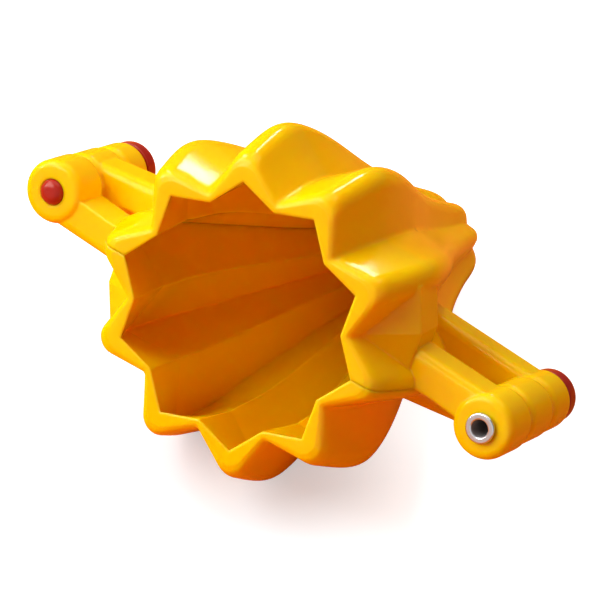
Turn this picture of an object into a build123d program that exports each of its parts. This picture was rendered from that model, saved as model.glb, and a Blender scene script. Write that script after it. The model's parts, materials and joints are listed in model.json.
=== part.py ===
from build123d import *
import math
import os

# Lengths are in millimetres. The mould is drawn with its own axis along +Y, the mouth in the plane Y = 0,
# the wings along X and the parting plane at Z = 0. At the end everything is leaned over as it lies.

# Star outline of the mouth and the rim
LOBES = 10
HALF_LOBE = math.pi / LOBES
MOUTH_TOOTH = 22.5
MOUTH_VALLEY = 19.15
RIM_TOOTH = 29.0
RIM_VALLEY = 20.9
RIM_DEPTH = 2.2
RIM_TOOTH_TURN = 2.2
RIM_VALLEY_TURN = 0.9
WALL = 2.2

# Outline along the axis: the rim flares to the shoulder, then comes a swollen cone and a rounded nose
TOOTH_FLARE = 0.33
VALLEY_FLARE = 0.24
SHOULDER = 11.7
SHOULDER_SOFT = 1.0
CONE_SLOPE = 0.29
CONE_APEX = 106.0
SWELL = 6.4
SWELL_AT = 15.8
SWELL_SPREAD = 24.5
FLUTE_TIP = 0.21
FLUTE_MORE = 0.085
FLUTE_AT = 13.5
FLUTE_SPREAD = 15.5
NOSE_START = 70.0
LENGTH = 80.3

# Rounding of ridges and valleys, which fades towards the tip
LOBE_ROUND = 3.2
VALLEY_ROUND = 0.8
FADE_RADIUS = 12.0

# Sections that the outside is lofted through, in the rim, along the body and round the nose
RIM_STEPS = 4
BODY_STEPS = 16
BODY_GROWTH = 1.5
INNER_STEPS = 7
NOSE_STEPS = 5
NOSE_TURN = math.radians(83.7)

# Flat-sided filling of the valley above the fork, which fades towards the rim and the tip
FLANK = 27.8
FLANK_TOP = 9.3
FLANK_RIDGE = (24.7, 16.6)
FLANK_PLACES = ((1.8, 0.7), (9.0, 1.0), (16.0, 0.98), (34.0, 0.64))

# Wings and barrels
HALF_SPAN = 43.1
FRONT_KNUCKLE_R = 5.5
MIDDLE_KNUCKLE_R = 5.25
REAR_KNUCKLE_R = 5.05
KNUCKLE_ROUND = 1.4
BARREL_FRONT = 8.8
FRONT_KNUCKLE = 8.2
MIDDLE_KNUCKLE = 8.6
REAR_KNUCKLE = 6.8
SIDE_GAP = 0.3
PARTING_GAP = 0.06
ARM_DROP = 0.5
ARM_INSET = 0.5
ARM_ROUND = 1.6
ARM_ROOT = 16.0
ARM_RISE = 0.09
ARM_SAG = 1.5
SAG_START = 32.2

# Pins
PIN_R = 2.25
PIN_CLEARANCE = 0.05
PIN_PROUD = 1.0
TIP_ROUND = 1.4
HEAD_R = 4.8
CAP_R = 4.6
HEAD_THICK = 3.2
HEAD_ROUND = 1.3
HEAD_GAP = 0.1
RIVET_BORE_R = 1.45
FLANGE_R = 2.6
FLANGE_THICK = 0.7
FLANGE_ROUND = 0.32
CAP_PLUG = 5.0

# The body rests on two shoulder lobes and on the same two lobes near the tip
REST_TILT = 20.3

MIDDLE_START = BARREL_FRONT + FRONT_KNUCKLE + SIDE_GAP
REAR_START = MIDDLE_START + MIDDLE_KNUCKLE + SIDE_GAP
BARREL_REAR = REAR_START + REAR_KNUCKLE
BORE_R = PIN_R + PIN_CLEARANCE


def soft_min(first, second, softness):
    # The smaller of two values, with a smooth change from one to the other
    return min(first, second) - softness * math.log1p(math.exp(-abs(first - second) / softness))


def body_radii(y):
    # Ridge and valley radius of the body behind the rim, before the nose closes
    cone = CONE_SLOPE * (CONE_APEX - y)
    swell = SWELL * math.exp(-(((y - SWELL_AT) / SWELL_SPREAD) ** 2))
    flute = FLUTE_TIP + FLUTE_MORE * math.exp(-(((y - FLUTE_AT) / FLUTE_SPREAD) ** 2))
    tooth = soft_min(RIM_TOOTH + TOOTH_FLARE * y, cone + swell, SHOULDER_SOFT)
    valley = soft_min(RIM_VALLEY + VALLEY_FLARE * y, (cone + swell) * (1 - flute), SHOULDER_SOFT)
    return tooth, valley


def nose_share(y, length):
    if y <= NOSE_START:
        return 1.0
    return math.sqrt(1 - ((y - NOSE_START) / (length - NOSE_START)) ** 2)


def outer_radii(y):
    tooth, valley = body_radii(y)
    turn = 0.0
    if y < RIM_DEPTH:
        turn = 1 - math.sqrt(1 - (1 - y / RIM_DEPTH) ** 2)
    share = nose_share(y, LENGTH)
    return (tooth - RIM_TOOTH_TURN * turn) * share, (valley - RIM_VALLEY_TURN * turn) * share


def inner_radii(y):
    # The wall is measured square to the flank, so the corners move in by more than the wall
    tooth, valley = body_radii(y)
    run = tooth - valley * math.cos(HALF_LOBE)
    lean = math.atan2(valley * math.sin(HALF_LOBE), run)
    share = nose_share(y, LENGTH - WALL)
    return (tooth - WALL / math.sin(lean)) * share, (valley - WALL / math.sin(lean + HALF_LOBE)) * share


def corner(before, at, after, radius):
    # Start, middle and end of the arc that rounds one corner of the star
    back = (before - at).normalized()
    ahead = (after - at).normalized()
    half = math.acos(back.dot(ahead)) / 2
    reach = radius / math.tan(half)
    centre = at + (back + ahead).normalized() * (radius / math.sin(half))
    middle = centre + (at - centre).normalized() * radius
    return at + back * reach, middle, at + ahead * reach


def star_points(y, tooth, valley):
    points = []
    for k in range(2 * LOBES):
        radius = tooth if k % 2 == 0 else valley
        angle = k * HALF_LOBE
        points.append(Vector(radius * math.cos(angle), y, radius * math.sin(angle)))
    return points


def rounded_star(y, tooth, valley):
    points = star_points(y, tooth, valley)
    fade = 1 - math.exp(-tooth / FADE_RADIUS)
    arcs = []
    for k in range(2 * LOBES):
        radius = fade * (LOBE_ROUND if k % 2 == 0 else VALLEY_ROUND)
        arcs.append(corner(points[k - 1], points[k], points[(k + 1) % (2 * LOBES)], radius))
    edges = []
    for k in range(2 * LOBES):
        start, middle, end = arcs[k]
        edges.append(Edge.make_three_point_arc(start, middle, end))
        edges.append(Edge.make_line(end, arcs[(k + 1) % (2 * LOBES)][0]))
    return Face(Wire(edges))


def sharp_star(y, tooth, valley):
    return Face(Wire.make_polygon(star_points(y, tooth, valley)))


def nose_places(length):
    turns = [k / NOSE_STEPS * NOSE_TURN for k in range(1, NOSE_STEPS + 1)]
    return [NOSE_START + (length - NOSE_START) * math.sin(turn) for turn in turns]


def outer_body():
    turns = [k / RIM_STEPS * math.pi / 2 for k in range(RIM_STEPS + 1)]
    places = [RIM_DEPTH * (1 - math.cos(turn)) for turn in turns]
    for k in range(1, BODY_STEPS + 1):
        places.append(RIM_DEPTH + (NOSE_START - RIM_DEPTH) * (k / BODY_STEPS) ** BODY_GROWTH)
    places += nose_places(LENGTH)
    return loft([rounded_star(y, *outer_radii(y)) for y in places])


def inner_body():
    shoulder = sharp_star(SHOULDER, *inner_radii(SHOULDER))
    mouth = loft([sharp_star(0, MOUTH_TOOTH, MOUTH_VALLEY), shoulder], ruled=True)
    places = [SHOULDER + (NOSE_START - SHOULDER) * k / INNER_STEPS for k in range(1, INNER_STEPS + 1)]
    places += nose_places(LENGTH - WALL)
    return mouth + loft([shoulder] + [sharp_star(y, *inner_radii(y)) for y in places])


def cylinder_along(y_start, y_end, radius, x):
    disc = Pos(x, y_start, 0) * Rot(-90, 0, 0) * Circle(radius)
    return extrude(disc, amount=y_end - y_start, dir=(0, 1, 0))


def knuckle(y_start, width, radius, side):
    body = cylinder_along(y_start, y_start + width, radius, side * HALF_SPAN)
    rings = body.edges().filter_by(GeomType.CIRCLE)
    return fillet(rings, KNUCKLE_ROUND)


def flank_filling():
    outline = [(FLANK / 2, 0), (FLANK, 0), (FLANK, FLANK_TOP), FLANK_RIDGE, (FLANK / 2, FLANK_TOP)]
    sections = []
    for y, share in FLANK_PLACES:
        points = [Vector(share * x, y, share * z) for x, z in outline]
        sections.append(Face(Wire.make_polygon(points)))
    return loft(sections, ruled=True)


def arm(y_start, width, radius, side):
    # Tall at the root and lower at the pin, with an underside that drops past the parting plane near the pin
    low = PARTING_GAP / 2
    high = radius - ARM_DROP
    outline = [
        (side * ARM_ROOT, low),
        (side * SAG_START, low),
        (side * HALF_SPAN, low - ARM_SAG),
        (side * HALF_SPAN, high),
        (side * ARM_ROOT, high + ARM_RISE * (HALF_SPAN - ARM_ROOT)),
    ]
    start = y_start + ARM_INSET
    side_face = Face(Wire.make_polygon([Vector(x, start, z) for x, z in outline]))
    block = extrude(side_face, amount=width - 2 * ARM_INSET, dir=(0, 1, 0))
    top = block.faces().sort_by(Axis.Z)[-1].edges().filter_by(Axis.Y, reverse=True)
    return fillet(top, ARM_ROUND)


def half_shell():
    above = Pos(0, LENGTH / 2, PARTING_GAP / 2 + RIM_TOOTH) * Box(2 * HALF_SPAN, 2 * LENGTH, 2 * RIM_TOOTH)
    half = (outer_body() + flank_filling()) & above
    knuckles = [
        (BARREL_FRONT, FRONT_KNUCKLE, FRONT_KNUCKLE_R, 1),
        (REAR_START, REAR_KNUCKLE, REAR_KNUCKLE_R, 1),
        (MIDDLE_START, MIDDLE_KNUCKLE, MIDDLE_KNUCKLE_R, -1),
    ]
    for sizes in knuckles:
        half += arm(*sizes)
    half -= inner_body()
    for sizes in knuckles:
        half += knuckle(*sizes)
    for side in (-1, 1):
        half -= cylinder_along(0, LENGTH, BORE_R, side * HALF_SPAN)
    return half


def hinge_rivet():
    tube_end = BARREL_REAR + HEAD_GAP
    tube = cylinder_along(BARREL_FRONT - HEAD_GAP, tube_end, PIN_R, HALF_SPAN)
    flange_front = BARREL_FRONT - HEAD_GAP - FLANGE_THICK
    flange = cylinder_along(flange_front, BARREL_FRONT - HEAD_GAP, FLANGE_R, HALF_SPAN)
    rivet = tube + flange
    rivet -= cylinder_along(0, LENGTH, RIVET_BORE_R, HALF_SPAN)
    front_rings = rivet.edges().filter_by(GeomType.CIRCLE).group_by(Axis.Y)[0]
    return fillet(front_rings, FLANGE_ROUND)


def pin_head(x, radius):
    start = BARREL_REAR + HEAD_GAP
    head = cylinder_along(start, start + HEAD_THICK, radius, x)
    rear_ring = head.edges().filter_by(GeomType.CIRCLE).group_by(Axis.Y)[-1]
    return fillet(rear_ring, HEAD_ROUND)


def hinge_cap():
    start = BARREL_REAR + HEAD_GAP
    return pin_head(HALF_SPAN, CAP_R) + cylinder_along(start - CAP_PLUG, start, RIVET_BORE_R, HALF_SPAN)


def lock_pin():
    tip = BARREL_FRONT - PIN_PROUD
    shaft = cylinder_along(tip, BARREL_REAR + HEAD_GAP, PIN_R, -HALF_SPAN)
    front_ring = shaft.edges().filter_by(GeomType.CIRCLE).group_by(Axis.Y)[0]
    return fillet(front_ring, TIP_ROUND) + pin_head(-HALF_SPAN, HEAD_R)


def laid_down(solids):
    leaned = {name: Rot(-REST_TILT, 0, 0) * solid for name, solid in solids.items()}
    boxes = [solid.bounding_box() for solid in leaned.values()]
    front = min(box.min.Y for box in boxes)
    rear = max(box.max.Y for box in boxes)
    floor = min(box.min.Z for box in boxes)
    shift = Pos(0, -(front + rear) / 2, -floor)
    return {name: shift * solid for name, solid in leaned.items()}


upper = half_shell()
pieces = laid_down({
    "upper_half": upper,
    "lower_half": Rot(0, 180, 0) * upper,
    "hinge_rivet": hinge_rivet(),
    "hinge_cap": hinge_cap(),
    "lock_pin": lock_pin(),
})

os.makedirs("parts", exist_ok=True)
for name, solid in pieces.items():
    export_step(solid, "parts/" + name + ".step")
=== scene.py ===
import json
import math

import bpy
from mathutils import Matrix, Vector

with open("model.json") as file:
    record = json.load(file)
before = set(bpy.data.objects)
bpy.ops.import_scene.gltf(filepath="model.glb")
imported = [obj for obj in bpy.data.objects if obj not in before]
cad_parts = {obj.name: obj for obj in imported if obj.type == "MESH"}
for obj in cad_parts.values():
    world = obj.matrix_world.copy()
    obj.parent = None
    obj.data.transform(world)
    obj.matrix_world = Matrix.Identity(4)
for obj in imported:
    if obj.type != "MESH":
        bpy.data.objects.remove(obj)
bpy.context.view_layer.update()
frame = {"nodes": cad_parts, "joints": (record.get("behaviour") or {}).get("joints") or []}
nodes = frame["nodes"]
hinge = next(joint for joint in frame["joints"] if joint["name"] == "shell_hinge")
hingeAxis = Vector(hinge["axis"])
hingePlace = Vector(hinge["pos_m"])
print("frame loaded,", len(nodes), "nodes")


# Small helpers for node trees

def addNode(tree, kind, **settings):
    node = tree.nodes.new(kind)
    for name, value in settings.items():
        setattr(node, name, value)
    return node


def mathNode(tree, operation, first, second=None, third=None, clamp=False):
    # one operation on up to three values, each a socket or a number
    node = addNode(tree, "ShaderNodeMath", operation=operation, use_clamp=clamp)
    for slot, value in enumerate((first, second, third)):
        if isinstance(value, bpy.types.NodeSocket):
            tree.links.new(value, node.inputs[slot])
        elif value is not None:
            node.inputs[slot].default_value = value
    return node.outputs[0]


def newGroup(name, inputs, outputs):
    # inputs: name to (socket kind, starting value); outputs: name to socket kind
    group = bpy.data.node_groups.new(name, "ShaderNodeTree")
    for label, (kind, start) in inputs.items():
        socket = group.interface.new_socket(name=label, in_out="INPUT", socket_type=kind)
        if start is not None:
            socket.default_value = start
    for label, kind in outputs.items():
        group.interface.new_socket(name=label, in_out="OUTPUT", socket_type=kind)
    return group, addNode(group, "NodeGroupInput"), addNode(group, "NodeGroupOutput")


# Edge wear: how far the rounded normal turns from the true one, broken up by noise

edgeWearSet = {"radius": 0.0004, "breakup": 900.0, "detail": 3.0, "gain": 9.0, "samples": 4}


def makeEdgeWear(setup):
    group, given, result = newGroup(
        "edgeWear",
        {
            "Vector": ("NodeSocketVector", None),
            "Radius": ("NodeSocketFloat", setup["radius"]),
            "Breakup": ("NodeSocketFloat", setup["breakup"]),
        },
        {"Mask": "NodeSocketFloat"},
    )
    rounded = addNode(group, "ShaderNodeBevel", samples=setup["samples"])
    group.links.new(given.outputs["Radius"], rounded.inputs["Radius"])
    plain = addNode(group, "ShaderNodeNewGeometry")
    along = addNode(group, "ShaderNodeVectorMath", operation="DOT_PRODUCT")
    group.links.new(rounded.outputs["Normal"], along.inputs[0])
    group.links.new(plain.outputs["Normal"], along.inputs[1])
    turned = mathNode(group, "SUBTRACT", 1.0, along.outputs["Value"])
    noise = addNode(group, "ShaderNodeTexNoise")
    group.links.new(given.outputs["Vector"], noise.inputs["Vector"])
    group.links.new(given.outputs["Breakup"], noise.inputs["Scale"])
    noise.inputs["Detail"].default_value = setup["detail"]
    strong = mathNode(group, "MULTIPLY", turned, setup["gain"])
    mask = mathNode(group, "MULTIPLY", strong, noise.outputs["Fac"], clamp=True)
    group.links.new(mask, result.inputs["Mask"])
    return group


# Moulded skin: cloudy flow of the melt, a fine orange peel and scattered rub marks, each a noise

mouldedSkinSet = {
    "Cloud": {"scale": 60.0, "detail": 3.0, "stretch": (1, 0.35, 1)},
    "Peel": {"scale": 420.0, "detail": 2.0, "stretch": (1, 1, 1)},
    "Rub": {"scale": 160.0, "detail": 6.0, "stretch": (1, 0.2, 1)},
}
noiseRoughness = 0.55


def makeMouldedSkin(setup):
    inputs = {label + " Scale": ("NodeSocketFloat", layer["scale"]) for label, layer in setup.items()}
    group, given, result = newGroup(
        "mouldedSkin",
        {"Vector": ("NodeSocketVector", None), **inputs},
        {label: "NodeSocketFloat" for label in setup},
    )
    for label, layer in setup.items():
        place = addNode(group, "ShaderNodeMapping")
        place.inputs["Scale"].default_value = layer["stretch"]
        group.links.new(given.outputs["Vector"], place.inputs["Vector"])
        noise = addNode(group, "ShaderNodeTexNoise")
        noise.inputs["Detail"].default_value = layer["detail"]
        noise.inputs["Roughness"].default_value = noiseRoughness
        group.links.new(place.outputs["Vector"], noise.inputs["Vector"])
        group.links.new(given.outputs[label + " Scale"], noise.inputs["Scale"])
        group.links.new(noise.outputs["Fac"], result.inputs[label])
    return group


edgeWear = makeEdgeWear(edgeWearSet)
mouldedSkin = makeMouldedSkin(mouldedSkinSet)


def useGroup(tree, group, vector, **values):
    node = addNode(tree, "ShaderNodeGroup", node_tree=group)
    tree.links.new(vector, node.inputs["Vector"])
    for label, value in values.items():
        node.inputs[label].default_value = value
    return node


def blendColours(tree, share, first, second):
    # first turns to second where share is 1; a Mix node's colours are its inputs 6 and 7 and its output 2
    mix = addNode(tree, "ShaderNodeMix", data_type="RGBA")
    tree.links.new(share, mix.inputs["Factor"])
    for socket, value in ((mix.inputs[6], first), (mix.inputs[7], second)):
        if isinstance(value, bpy.types.NodeSocket):
            tree.links.new(value, socket)
        else:
            socket.default_value = (*value, 1.0)
    return mix.outputs[2]


def newMaterial(name):
    material = bpy.data.materials.new(name)
    material.use_nodes = True
    tree = material.node_tree
    shader = tree.nodes["Principled BSDF"]
    coords = addNode(tree, "ShaderNodeTexCoord")
    return material, tree, shader, coords.outputs["Object"]


softSamples = 8


def bumpNormal(tree, height, strength, depth, softRadius=0.0):
    # a bump over the true surface, or over one whose edges are rounded by softRadius
    bump = addNode(tree, "ShaderNodeBump")
    if softRadius:
        soft = addNode(tree, "ShaderNodeBevel", samples=softSamples)
        soft.inputs["Radius"].default_value = softRadius
        tree.links.new(soft.outputs["Normal"], bump.inputs["Normal"])
    bump.inputs["Strength"].default_value = strength
    bump.inputs["Distance"].default_value = depth
    tree.links.new(height, bump.inputs["Height"])
    return bump.outputs["Normal"]


# Plastics: the gloss, the wear and the skin of the shells, and the same in red for the pin and the cap

shellPlastic = {
    "colour": (1.0, 0.66, 0.0),
    "deepColour": (0.98, 0.59, 0.0),
    "wornColour": (1.0, 0.70, 0.06),
    "roughness": 0.12,
    "roughnessSpread": 0.06,
    "scuffRoughness": 0.15,
    "wornShare": 0.35,
    "edgeRadius": 0.0005,
    "softRadius": 0.0007,
    "peelDepth": 0.00002,
    "peelStrength": 0.35,
    "refraction": 1.5,
    "sheen": 0.24,
    "sheenTint": (1.0, 0.88, 0.62),
    "scatter": 0.7,
    "scatterReach": 0.0028,
    "scatterRadius": (1.0, 0.3, 0.05),
}
pinPlastic = dict(
    shellPlastic,
    colour=(0.42, 0.020, 0.010),
    deepColour=(0.32, 0.012, 0.008),
    wornColour=(0.55, 0.08, 0.05),
    roughness=0.2,
    sheen=0.4,
    sheenTint=(1.0, 0.75, 0.65),
    scatter=0.0,
)


def makePlastic(name, look):
    material, tree, shader, vector = newMaterial(name)
    skin = useGroup(tree, mouldedSkin, vector)
    wear = useGroup(tree, edgeWear, vector, Radius=look["edgeRadius"])
    body = blendColours(tree, skin.outputs["Cloud"], look["colour"], look["deepColour"])
    worn = mathNode(tree, "MULTIPLY", wear.outputs["Mask"], look["wornShare"])
    tree.links.new(blendColours(tree, worn, body, look["wornColour"]), shader.inputs["Base Color"])
    spread = mathNode(tree, "MULTIPLY", skin.outputs["Rub"], look["roughnessSpread"])
    smooth = look["roughness"] - look["roughnessSpread"] / 2
    scuffed = mathNode(tree, "MULTIPLY_ADD", wear.outputs["Mask"], look["scuffRoughness"], smooth)
    tree.links.new(mathNode(tree, "ADD", spread, scuffed), shader.inputs["Roughness"])
    peel = skin.outputs["Peel"]
    normal = bumpNormal(tree, peel, look["peelStrength"], look["peelDepth"], look["softRadius"])
    tree.links.new(normal, shader.inputs["Normal"])
    shader.inputs["IOR"].default_value = look["refraction"]
    shader.inputs["Specular IOR Level"].default_value = look["sheen"]
    shader.inputs["Specular Tint"].default_value = (*look["sheenTint"], 1.0)
    shader.inputs["Subsurface Weight"].default_value = look["scatter"]
    shader.inputs["Subsurface Scale"].default_value = look["scatterReach"]
    shader.inputs["Subsurface Radius"].default_value = look["scatterRadius"]
    return material


# Steel: bright outside with turning marks round the hinge axis, dull and grey inside the bore

turnedSteel = {
    "colour": (0.72, 0.72, 0.74),
    "darkColour": (0.52, 0.52, 0.54),
    "dullColour": (0.30, 0.30, 0.31),
    "roughness": 0.24,
    "roughnessSpread": 0.2,
    "dullRoughness": 0.6,
    "dullMetal": 0.25,
    "boreRadius": 0.00152,
    "ringScale": 2600.0,
    "ringDistortion": 1.5,
    "ringStrength": 0.3,
    "ringDepth": 0.00001,
}


def makeSteel(name, look):
    # the vector is turned so that its Z is the hinge axis, and the distance from it tells where the bore is
    material, tree, shader, vector = newMaterial(name)
    place = addNode(tree, "ShaderNodeMapping", vector_type="TEXTURE")
    place.inputs["Location"].default_value = hingePlace
    place.inputs["Rotation"].default_value = hingeAxis.to_track_quat("Z", "Y").to_euler()
    tree.links.new(vector, place.inputs["Vector"])
    flat = addNode(tree, "ShaderNodeVectorMath", operation="MULTIPLY")
    flat.inputs[1].default_value = (1, 1, 0)
    tree.links.new(place.outputs["Vector"], flat.inputs[0])
    radius = addNode(tree, "ShaderNodeVectorMath", operation="LENGTH")
    tree.links.new(flat.outputs["Vector"], radius.inputs[0])
    inside = mathNode(tree, "LESS_THAN", radius.outputs["Value"], look["boreRadius"])
    rings = addNode(tree, "ShaderNodeTexWave", wave_type="RINGS", rings_direction="Z")
    rings.inputs["Scale"].default_value = look["ringScale"]
    rings.inputs["Distortion"].default_value = look["ringDistortion"]
    tree.links.new(place.outputs["Vector"], rings.inputs["Vector"])
    skin = useGroup(tree, mouldedSkin, vector)
    bright = blendColours(tree, skin.outputs["Cloud"], look["colour"], look["darkColour"])
    tree.links.new(blendColours(tree, inside, bright, look["dullColour"]), shader.inputs["Base Color"])
    smooth = look["roughness"] - look["roughnessSpread"] / 2
    rough = mathNode(tree, "MULTIPLY_ADD", skin.outputs["Rub"], look["roughnessSpread"], smooth)
    duller = mathNode(tree, "MULTIPLY", inside, look["dullRoughness"] - look["roughness"])
    tree.links.new(mathNode(tree, "ADD", rough, duller), shader.inputs["Roughness"])
    metal = mathNode(tree, "MULTIPLY_ADD", inside, look["dullMetal"] - 1.0, 1.0)
    tree.links.new(metal, shader.inputs["Metallic"])
    normal = bumpNormal(tree, rings.outputs["Fac"], look["ringStrength"], look["ringDepth"])
    tree.links.new(normal, shader.inputs["Normal"])
    return material


def dress(nodeName, material):
    nodes[nodeName].material_slots[0].material = material


yellow = makePlastic("glossYellowPlastic", shellPlastic)
red = makePlastic("glossRedPlastic", pinPlastic)
steel = makeSteel("turnedSteel", turnedSteel)
for nodeName in ("upper_half", "lower_half"):
    dress(nodeName, yellow)
for nodeName in ("lock_pin", "hinge_cap"):
    dress(nodeName, red)
dress("hinge_rivet", steel)
print("materials made")


# Camera: where it stands, the point it looks at, how far it leans to one side, and its lens

cameraSet = {
    "place": (0.25555, -0.50673, 0.48133),
    "aim": (0.00727, -0.02649, 0.03666),
    "roll": 10.46,
    "lens": 258.56,
    "sensor": 36.0,
    "farthest": 50.0,
}


def makeCamera(setup):
    camera = bpy.data.cameras.new("viewCamera")
    camera.lens = setup["lens"]
    camera.sensor_width = setup["sensor"]
    camera.clip_end = setup["farthest"]
    holder = bpy.data.objects.new("viewCamera", camera)
    bpy.context.scene.collection.objects.link(holder)
    sight = Vector(setup["aim"]) - Vector(setup["place"])
    turn = sight.to_track_quat("-Z", "Y").to_matrix().to_4x4()
    lean = Matrix.Rotation(math.radians(setup["roll"]), 4, "Z")
    holder.matrix_world = Matrix.Translation(setup["place"]) @ turn @ lean
    bpy.context.scene.camera = holder


makeCamera(cameraSet)
print("camera made")


# Floor: for the camera, white paper with a glow of its own, lower under the part than around it. The low glow
# paints a shadow under the part on top of its real shadow, and the high glow around it paints over the real
# shadow there.
# In reflections it is paper only in front. Elsewhere, and for diffuse light, it has the warm bounce colour.

floorSet = {
    "size": 4.0,
    "seen": (0.50, 0.60, 0.66),
    "bounce": (0.74, 0.22, 0.03),
    "mottleScale": 3.0,
    "mottleShade": 0.99,
    "whiteFrom": 0.20,
    "whiteFull": 0.45,
    # painted shadow on the floor: the glow is lowest within the first reach of this point under the part and
    # full beyond the second
    "middle": (0.004, -0.029, 0.0),
    "paintedShadowGlow": 0.50,
    "glowAroundPaintedShadow": 0.88,
    "paintedShadowCore": 0.008,
    "paintedShadowEdge": 0.036,
}


def makeFloor(setup):
    half = setup["size"] / 2
    mesh = bpy.data.meshes.new("studioFloor")
    corners = [(-half, -half, 0), (half, -half, 0), (half, half, 0), (-half, half, 0)]
    mesh.from_pydata(corners, [], [(0, 1, 2, 3)])
    floor = bpy.data.objects.new("studioFloor", mesh)
    bpy.context.scene.collection.objects.link(floor)
    material, tree, shader, vector = newMaterial("paperWhite")
    noise = addNode(tree, "ShaderNodeTexNoise")
    noise.inputs["Scale"].default_value = setup["mottleScale"]
    tree.links.new(vector, noise.inputs["Vector"])
    shade = [setup["mottleShade"] * level for level in setup["seen"]]
    paper = blendColours(tree, noise.outputs["Fac"], setup["seen"], shade)
    path = addNode(tree, "ShaderNodeLightPath")
    place = addNode(tree, "ShaderNodeSeparateXYZ")
    tree.links.new(vector, place.inputs[0])
    slope = 1.0 / (setup["whiteFull"] - setup["whiteFrom"])
    start = -slope * setup["whiteFrom"]
    inFront = mathNode(tree, "MULTIPLY_ADD", place.outputs["Y"], -slope, start, clamp=True)
    mirrored = mathNode(tree, "MULTIPLY", inFront, path.outputs["Is Glossy Ray"])
    white = mathNode(tree, "MAXIMUM", path.outputs["Is Camera Ray"], mirrored)
    tree.links.new(blendColours(tree, white, setup["bounce"], paper), shader.inputs["Base Color"])
    shader.inputs["Roughness"].default_value = 1.0
    shader.inputs["Specular IOR Level"].default_value = 0.0
    # painted shadow: the camera's glow rises with distance from the point under the part, darker near it and
    # whiter further out
    away = addNode(tree, "ShaderNodeVectorMath", operation="DISTANCE")
    away.inputs[1].default_value = setup["middle"]
    tree.links.new(vector, away.inputs[0])
    paintedShadowFade = addNode(tree, "ShaderNodeMapRange", interpolation_type="SMOOTHSTEP")
    paintedShadowFade.inputs["From Min"].default_value = setup["paintedShadowCore"]
    paintedShadowFade.inputs["From Max"].default_value = setup["paintedShadowEdge"]
    paintedShadowFade.inputs["To Min"].default_value = setup["paintedShadowGlow"]
    paintedShadowFade.inputs["To Max"].default_value = setup["glowAroundPaintedShadow"]
    tree.links.new(away.outputs["Value"], paintedShadowFade.inputs["Value"])
    glow = mathNode(tree, "MULTIPLY", path.outputs["Is Camera Ray"], paintedShadowFade.outputs["Result"])
    tree.links.new(glow, shader.inputs["Emission Strength"])
    shader.inputs["Emission Color"].default_value = (1, 1, 1, 1)
    mesh.materials.append(material)


makeFloor(floorSet)
print("floor made")


# Sky: white for the camera, even for diffuse light, and in reflections white in front and dim behind the part

skySet = {
    "light": (0.29, 0.14, 0.06),
    "frontMirrored": (0.85, 0.85, 0.85),
    "backMirrored": (0.12, 0.11, 0.10),
    "seen": (1.0, 1.0, 1.0),
    "dimAtSide": 0.75,
    "dimSlope": 1.1,
}


def makeSky(setup):
    world = bpy.data.worlds.new("studioSky")
    world.use_nodes = True
    bpy.context.scene.world = world
    tree = world.node_tree
    path = addNode(tree, "ShaderNodeLightPath")
    coords = addNode(tree, "ShaderNodeTexCoord")
    direction = addNode(tree, "ShaderNodeSeparateXYZ")
    tree.links.new(coords.outputs["Generated"], direction.inputs[0])
    alongY = direction.outputs["Y"]
    behind = mathNode(tree, "MULTIPLY_ADD", alongY, setup["dimSlope"], setup["dimAtSide"], clamp=True)
    mirrored = blendColours(tree, behind, setup["frontMirrored"], setup["backMirrored"])
    lit = blendColours(tree, path.outputs["Is Glossy Ray"], setup["light"], mirrored)
    colour = blendColours(tree, path.outputs["Is Camera Ray"], lit, setup["seen"])
    tree.links.new(colour, tree.nodes["Background"].inputs["Color"])


makeSky(skySet)
print("sky made")


# Lamps: all aim at one point. Each has degrees round from the front, negative to the left, where the pin is,
# then degrees up, distance, size and power.

lampTarget = Vector((0, 0, 0.03))
lampSet = {
    "overheadBox": {"round": -160, "up": 72, "away": 1.2, "size": (1.20, 0.90), "power": 5.4},
    "keyBox": {"round": -52, "up": 36, "away": 1.1, "size": (1.00, 0.80), "power": 13.2},
    "backBox": {"round": -155, "up": 34, "away": 0.8, "size": (0.06, 0.36), "power": 1.3},
    "sideBox": {"round": -95, "up": 37, "away": 0.8, "size": (0.06, 0.26), "power": 1.1},
    "frontBox": {"round": -55, "up": 12, "away": 0.8, "size": (0.08, 0.10), "power": 0.8},
}


def makeLamps(setup, target):
    for name, lamp in setup.items():
        light = bpy.data.lights.new(name, "AREA")
        light.shape = "RECTANGLE"
        light.size, light.size_y = lamp["size"]
        light.energy = lamp["power"]
        holder = bpy.data.objects.new(name, light)
        bpy.context.scene.collection.objects.link(holder)
        across, up = math.radians(lamp["round"]), math.radians(lamp["up"])
        level = math.cos(up)
        sight = Vector((level * math.sin(across), -level * math.cos(across), math.sin(up)))
        place = target + lamp["away"] * sight
        turn = (-sight).to_track_quat("-Z", "Y").to_matrix().to_4x4()
        holder.matrix_world = Matrix.Translation(place) @ turn


makeLamps(lampSet, lampTarget)
bpy.context.scene.view_settings.view_transform = "Standard"
print("lamps made")
